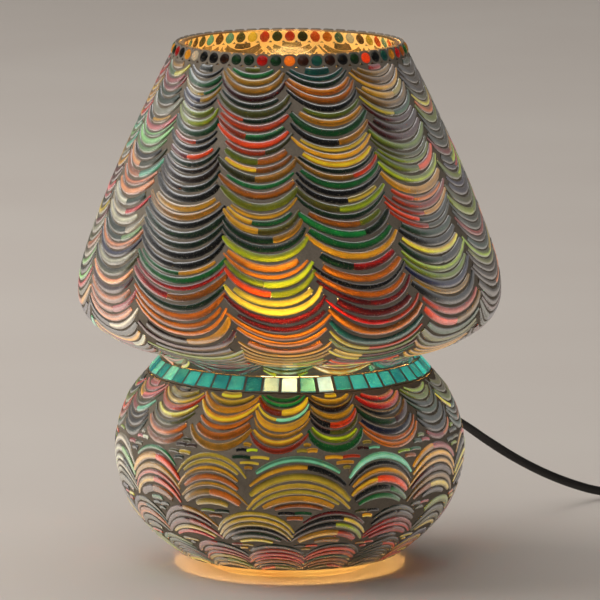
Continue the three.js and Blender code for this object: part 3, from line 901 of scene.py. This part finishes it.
class Collector:
    """Gathers many small closed bodies, each with its colour, into one piece."""

    def __init__(self):
        self.vertices, self.faces, self.colours = [], [], []

    def add(self, vertices, faces, colour):
        offset = len(self.vertices)
        self.vertices += [tuple(v) for v in vertices]
        self.faces += [tuple(i + offset for i in face) for face in faces]
        self.colours += colour if isinstance(colour, list) else [colour] * len(vertices)

    def finish(self, name, material, slot):
        piece = mesh_piece(name, self.vertices, self.faces, material, sharp=50)
        layer = piece.data.color_attributes.new("glass_colour", "FLOAT_COLOR", "POINT")
        layer.data.foreach_set("color", np.array(self.colours, np.float32).ravel())
        return piece


def add_strip(collector, mesh, name, rng):
    """Adds a strip in a tone of its own, with the same painted edge shade and streaks (drawn glass and
    painted glints) at every section of it.
    """
    vertices, faces = mesh
    collector.add(vertices, faces, painted_edge_shade_and_glints(varied(name, rng), rng) * len(STATIONS))


def lay_zone(zone, replaces, groups):
    """Grout and strips of a whole zone. The strips are split into a few groups of columns."""
    cells = []
    collectors = [Collector() for _ in range(groups)]
    has_cusps = zone.bend == zone.step
    for column in range(zone.count):
        rows, open_rows, strips = column_layout(zone, column)
        cells += grout_cells(zone, column, rows, open_rows)
        collector = collectors[column * groups // zone.count]
        for *strip, name in strips:
            add_strip(collector, strip_mesh(zone, *strip), name, zone.rng)
        for mesh in cusp_strips(zone, column) if has_cusps else ():
            name = pick_colour(zone, float(zone.border(column, zone.even)))
            add_strip(collector, mesh, name, zone.rng)
    thick_bed(zone.name + "_grout", cells, replaces)
    for number, collector in enumerate(collectors, 1):
        collector.finish(f"{zone.name}_strips_{number}", STRIP_GLASS, "mosaic")


SHADE = Zone("shade", SHADE_BORDERS, SHADE_BAND, 1, 4.75 * MM, 11, SHADE_BORDERS_TOP)
BASE_UPPER = Zone("base_upper", BASE_UPPER_BORDERS, (BASE_SPLITS[2], BASE_BAND[1]), 1, 4.5 * MM, 23, even=0)
BASE_ARCHES = Zone("base_lower", BASE_ARCH_BORDERS, BASE_SPLITS[1:], -1, 4.5 * MM, 37)
MIDDLE_ARCHES = Zone("base_middle", MIDDLE_ARCH_BORDERS, BASE_SPLITS[:2], -1, 4.3 * MM, 53)
FOOT_ARCHES = Zone("base_foot", FOOT_ARCH_BORDERS, (BASE_BAND[0], BASE_SPLITS[0]), -1, 4.2 * MM, 41)
lay_zone(SHADE, ("shade_mosaic",), 3)
lay_zone(BASE_UPPER, ("base_mosaic",), 1)
for arches in (BASE_ARCHES, MIDDLE_ARCHES, FOOT_ARCHES):
    lay_zone(arches, (), 1)

# ---- Beads and tiles ----

BEAD_SIDES = 16
BEAD_R = 3.4 * MM
BEAD_HOLE_R = 3.1 * MM    # of the window in the grout under each bead
BEAD_RING_R = 66 * MM
TILE_SHARE = 0.44         # half a tile's width, as a share of the way to the next
TILE_MARGINS = (1.3 * MM, 1.6 * MM)             # from the belt's lower and upper edge to a tile
TILE_HOLE_MARGINS = (1.7 * MM, 2.0 * MM)


def band_cells(count, band, hole):
    """A belt of square cells, each with a hole of the given outline (azimuth and distance shares)."""
    low, high = distance_at(band[0]), distance_at(band[1])
    middle, half = (low + high) / 2, (high - low) / 2
    width = 360 / count
    cells = []
    for k in range(count):
        for (x1, y1), (x2, y2) in zip(hole, hole[1:] + hole[:1]):
            corners = (to_square(x1, y1), to_square(x2, y2), (x2, y2), (x1, y1))
            cells.append([((k + 0.5 * x) * width, middle + y * half) for x, y in corners])
    return cells


def to_square(x, y):
    """Where the line from the middle of a unit square through a point meets its edge."""
    size = max(abs(x), abs(y))
    return (x / size, y / size)


def bead_mesh(azimuth, distance, radius):
    """A round cabochon: flat underneath, with a low dome."""
    rings = [(1.0, 0.3), (1.0, 1.5), (0.93, 2.1), (0.75, 2.65), (0.45, 3.0), (0.16, 3.1)]
    base = on_glass(azimuth, distance, 0.0)
    normal = (on_glass(azimuth, distance, MM) - base) / MM
    side = np.cross((0, 0, 1), normal)
    side /= np.linalg.norm(side)
    up = np.cross(normal, side)
    vertices = []
    for share, height in rings:
        for angle in np.arange(BEAD_SIDES) * 2 * math.pi / BEAD_SIDES:
            turned = side * math.cos(angle) + up * math.sin(angle)
            vertices.append(base + radius * share * turned + normal * height * MM)
    return vertices, closed_skin(BEAD_SIDES, len(rings))


BEAD_FRONT = (
    "gold clear ink ink brown dark_green dark_green red dark_green amber brown teal brown ink "
    "dark_green orange ink teal gold"
).split()


def lay_beads():
    rng = random.Random(5)
    collector = Collector()
    low, high = distance_at(BEAD_BAND[0]), distance_at(BEAD_BAND[1])
    width = 360 / BEAD_COUNT
    others = "gold clear ink brown dark_green red emerald amber orange teal lemon turquoise".split()
    for k in range(BEAD_COUNT):
        from_left = (k + len(BEAD_FRONT) // 2) % BEAD_COUNT
        name = BEAD_FRONT[from_left] if from_left < len(BEAD_FRONT) else rng.choice(others)
        radius = BEAD_R * rng.uniform(0.94, 1.03)
        azimuth = k * width + rng.uniform(-0.15, 0.15)
        vertices, faces = bead_mesh(azimuth, (low + high) / 2 + rng.uniform(-0.2, 0.2) * MM, radius)
        collector.add(vertices, faces, varied(name, rng))
    collector.finish("rim_beads", BEAD_GLASS, "beads")
    across = BEAD_HOLE_R / (math.pi * BEAD_RING_R / BEAD_COUNT)
    along = BEAD_HOLE_R / ((high - low) / 2)
    angles = (np.arange(BEAD_SIDES) + 0.5) * 2 * math.pi / BEAD_SIDES
    hole = [(across * math.cos(a), along * math.sin(a)) for a in angles]
    thick_bed("rim_bead_grout", band_cells(BEAD_COUNT, BEAD_BAND, hole), ("rim_bead_band",))


def tile_mesh(azimuth, low, high, half, rng):
    """A hand-cut square tile with soft edges, flat underneath."""
    corners = [(-1, 0), (1, 0), (1, 1), (-1, 1)]
    jitter = [(rng.uniform(-0.1, 0.1), rng.uniform(-0.06, 0.06)) for _ in corners]
    rings = [(0.0, 0.3), (0.0, 1.9), (0.05, 2.4), (0.16, 2.65)]
    vertices = []
    for inset, height in rings:
        for (x, y), (dx, dy) in zip(corners, jitter):
            across = (x + dx) * (1 - inset)
            share = 0.5 + (y + dy - 0.5) * (1 - inset)
            vertices.append(on_glass(azimuth + across * half, low + share * (high - low), height * MM))
    return vertices, closed_skin(len(corners), len(rings))


def lay_tiles():
    rng = random.Random(8)
    collector = Collector()
    band_low, band_high = distance_at(TILE_BAND[0]), distance_at(TILE_BAND[1])
    low, high = band_low + TILE_MARGINS[0], band_high - TILE_MARGINS[1]
    width = 360 / TILE_COUNT
    for k in range(TILE_COUNT):
        azimuth = k * width
        # The tiles on the front are paler: painted glow that stands in for the bulb's light seen through
        # them.
        pale = azimuth < 20 or azimuth > 345
        name = rng.choice(["foam", "foam", "mint"] if pale else ["turquoise", "turquoise", "mint", "sea"])
        turned = azimuth + rng.uniform(-0.2, 0.2)
        vertices, faces = tile_mesh(turned, low, high, TILE_SHARE * width, rng)
        collector.add(vertices, faces, varied(name, rng))
    collector.finish("shoulder_tiles", TILE_GLASS, "tiles")
    lower, upper = (2 * margin / (band_high - band_low) for margin in TILE_HOLE_MARGINS)
    hole = [(-0.8, lower - 1), (0.8, lower - 1), (0.8, 1 - upper), (-0.8, 1 - upper)]
    cells = band_cells(TILE_COUNT, TILE_BAND, hole)
    thick_bed("shoulder_tile_grout", cells, ("shoulder_tile_band",))


lay_beads()
lay_tiles()

# ---- Bulb, lampholder and fittings ----


def make_bulb():
    angles = np.linspace(-0.5, math.pi / 2 - 0.02, 14)
    globe = [(BULB_R * math.cos(a), BULB_CENTRE_Z + BULB_R * math.sin(a)) for a in angles]
    outer = [tuple(p) for p in catmull_rom(in_metres(BULB_NECK) + globe, 4)]
    crown = BULB_CENTRE_Z + 0.8 * BULB_R
    inner = [(max(r - BULB_WALL, 0.3 * MM), z - BULB_WALL * (z > crown)) for r, z in outer]
    vertices, faces = lathe(outer + inner[::-1], 64)
    mesh_piece(
        "bulb_globe", vertices, faces, CLEAR_BULB, body="bulb", replaces=("bulb_glass",))


def threaded_tube(name, inner, outer, low, high, material, body, replaced):
    """A thin tube with a rolled screw thread of the lamp cap's pitch, which fades out at both ends."""
    segments, per_turn = 48, 8
    rows = int((high - low) / (THREAD_PITCH / per_turn))
    vertices = []
    for side in (outer, inner):
        for k in range(rows + 1):
            z = low + (high - low) * k / rows
            fade = min(1, k / per_turn, (rows - k) / per_turn)
            for i in range(segments):
                angle = 2 * math.pi * i / segments
                wave = 0.5 - 0.5 * math.cos(2 * math.pi * (z / THREAD_PITCH) - angle)
                r = side - THREAD_DEPTH * wave * fade
                vertices.append((r * math.cos(angle), r * math.sin(angle), z))
    faces = joined(segments, rows + 1)
    inside, top = (rows + 1) * segments, rows * segments
    faces += [(inside + b, inside + a, inside + d, inside + c) for a, b, c, d in faces]
    for i in range(segments):
        j = (i + 1) % segments
        faces.append((i, inside + i, inside + j, j))
        faces.append((top + j, inside + top + j, inside + top + i, top + i))
    mesh_piece(name, vertices, faces, material, body=body, replaces=replaced)


def softened(node, material, width):
    """A copy of a CAD piece with its edges rounded, which stands for it."""
    source = frame["nodes"][node]
    mesh = source.data.copy()
    mesh.materials.clear()
    mesh.materials.append(material)
    body = bmesh.new()
    body.from_mesh(mesh)
    bmesh.ops.remove_doubles(body, verts=body.verts, dist=1e-6)
    bmesh.ops.dissolve_limit(body, angle_limit=math.radians(3), verts=body.verts, edges=body.edges)
    sharp = [e for e in body.edges if e.is_manifold and e.calc_face_angle(0) > math.radians(28)]
    bmesh.ops.bevel(body, geom=sharp, offset=width, segments=2, profile=0.6, affect="EDGES",
                    clamp_overlap=True, offset_type="OFFSET")
    body.to_mesh(mesh)
    body.free()
    mesh.shade_smooth()
    mesh.set_sharp_from_angle(angle=math.radians(50))
    piece = bpy.data.objects.new(node + "_finished", mesh)
    bpy.context.scene.collection.objects.link(piece)
    piece.matrix_world = source.matrix_world.copy()
    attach(piece, body_of(source)[0])
    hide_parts(node)


def make_threads():
    """The bulb's screw cap and the lampholder's shell, with threads that mate."""
    threaded_tube("bulb_screw_cap", 12.6 * MM, 13.1 * MM, 77.4 * MM, 96.5 * MM, STEEL, "bulb",
                  ("bulb_cap",))
    threaded_tube("holder_screw_shell", 13.7 * MM, 14.4 * MM, 69.5 * MM, 93 * MM, BRASS, "lamp",
                  ("threaded_shell",))
    shoulder = [
        (4.6, 73), (10.5, 74.5), (12.6, 76.4), (13.1, 77.4), (12.6, 77.4), (10.2, 75.1), (4.6, 73.7)]
    vertices, faces = lathe(in_metres(shoulder), 64)
    mesh_piece("bulb_cap_shoulder", vertices, faces, STEEL, body="bulb")


make_bulb()
make_threads()

# CAD pieces whose edges are rounded: the material, and the rounding in millimetres.
SOFTENED = {
    "holder_cap": (BAKELITE, 0.5), "holder_skirt": (BAKELITE, 0.5), "contact_block": (CERAMIC, 0.4),
    "lower_nut": (BRASS, 0.35), "upper_nut": (BRASS, 0.35), "holder_lock_nut": (BRASS, 0.35),
    "lower_steel_washer": (STEEL, 0.25), "upper_steel_washer": (STEEL, 0.25),
    "lower_rubber_washer": (RUBBER, 0.35), "upper_rubber_washer": (RUBBER, 0.35),
    "cord_grommet": (RUBBER, 0.35), "cord_tie": (PLASTIC, 0.3), "switch_lower_shell": (PLASTIC, 0.7),
    "switch_upper_shell": (PLASTIC, 0.7), "switch_rocker": (PLASTIC, 0.4),
    "switch_screw_left": (STEEL, 0.15), "switch_screw_right": (STEEL, 0.15),
    "plug_body": (PLASTIC, 0.7), "plug_pin_left": (BRASS, 0.4), "plug_pin_right": (BRASS, 0.4),
    "terminal_screw_left": (STEEL, 0.2), "terminal_screw_right": (STEEL, 0.2),
}
for node, (material, width) in SOFTENED.items():
    softened(node, material, width * MM)
make_cord()

# CAD pieces that are shown as they are.
NODE_MATERIALS = {
    "threaded_pipe": BRASS, "centre_contact": BRASS, "side_contact": BRASS, "switch_contact": BRASS,
    "bulb_tip_contact": STEEL, "bulb_insulator": BAKELITE, "bulb_stem": CLEAR_BULB,
    "filament_support": STEEL, "filament_1": PHOSPHOR, "filament_2": PHOSPHOR, "filament_3": PHOSPHOR,
    "filament_4": PHOSPHOR, "driver_board": BOARD, "inner_cord": SHEATH,
}
for node, material in NODE_MATERIALS.items():
    mesh = frame["nodes"][node].data
    mesh.materials.clear()
    mesh.materials.append(material)

# ---- Floor, backdrop and lights ----


def make_stage():
    made = Shader("backdrop", Roughness=0.7)
    made.two_tone("Base Color", made.noise(3, 2), srgb(206, 198, 190), srgb(210, 203, 195))
    front, back, bend, top = -7.0, 5.4, 1.4, 5.0
    arc = [(back + bend * math.sin(a), bend - bend * math.cos(a)) for a in np.linspace(0, math.pi / 2, 24)]
    line = [(front, 0.0)] + arc + [(back + bend, top)]
    vertices, faces = [], []
    for x in (-7.0, 7.0):
        vertices += [(x, y, z) for y, z in line]
    for i in range(len(line) - 1):
        faces.append((i, i + len(line), i + 1 + len(line), i + 1))
    floor = mesh_piece("backdrop", vertices, faces, made.material, body=None)


def area_light(name, place, target, size, power, colour, shines=True):
    data = bpy.data.lights.new(name, "AREA")
    data.shape = "RECTANGLE"
    data.size, data.size_y = size
    data.energy = power
    data.color = colour
    light = bpy.data.objects.new(name, data)
    light.location = place
    light.rotation_euler = (Vector(target) - Vector(place)).to_track_quat("-Z", "Y").to_euler()
    light.visible_glossy = light.visible_transmission = shines
    bpy.context.scene.collection.objects.link(light)


def make_lights():
    warm, white = (1.0, 0.965, 0.93), (1.0, 0.97, 0.95)
    area_light("key_softbox", (-2.3, 0.3, 1.4), (0, 0, 0.15), (2.0, 2.4), 50, warm, False)
    area_light("fill_softbox", (-0.3, -1.9, 2.6), (0, 0, 0.15), (1.2, 1.2), 9, white)
    area_light("top_softbox", (-0.5, 0.3, 2.8), (-0.3, 0.0, 0), (3.6, 2.8), 24, white)
    area_light("backdrop_softbox", (-0.6, 2.9, 2.9), (-0.4, 2.6, 0), (4.0, 1.8), 26, white, False)
    world = bpy.data.worlds.new("world")
    world.use_nodes = True
    background = next(n for n in world.node_tree.nodes if n.type == "BACKGROUND")
    background.inputs["Color"].default_value = (0.82, 0.80, 0.78, 1)
    background.inputs["Strength"].default_value = 0.2
    bpy.context.scene.world = world


make_stage()
make_lights()

scene = bpy.context.scene
scene.cycles.use_denoising = True
scene.cycles.max_bounces = 24
scene.cycles.transmission_bounces = 18
scene.cycles.glossy_bounces = 6
scene.cycles.diffuse_bounces = 4
scene.cycles.transparent_max_bounces = 24
scene.cycles.sample_clamp_indirect = 6.0
scene.view_settings.view_transform = "Standard"
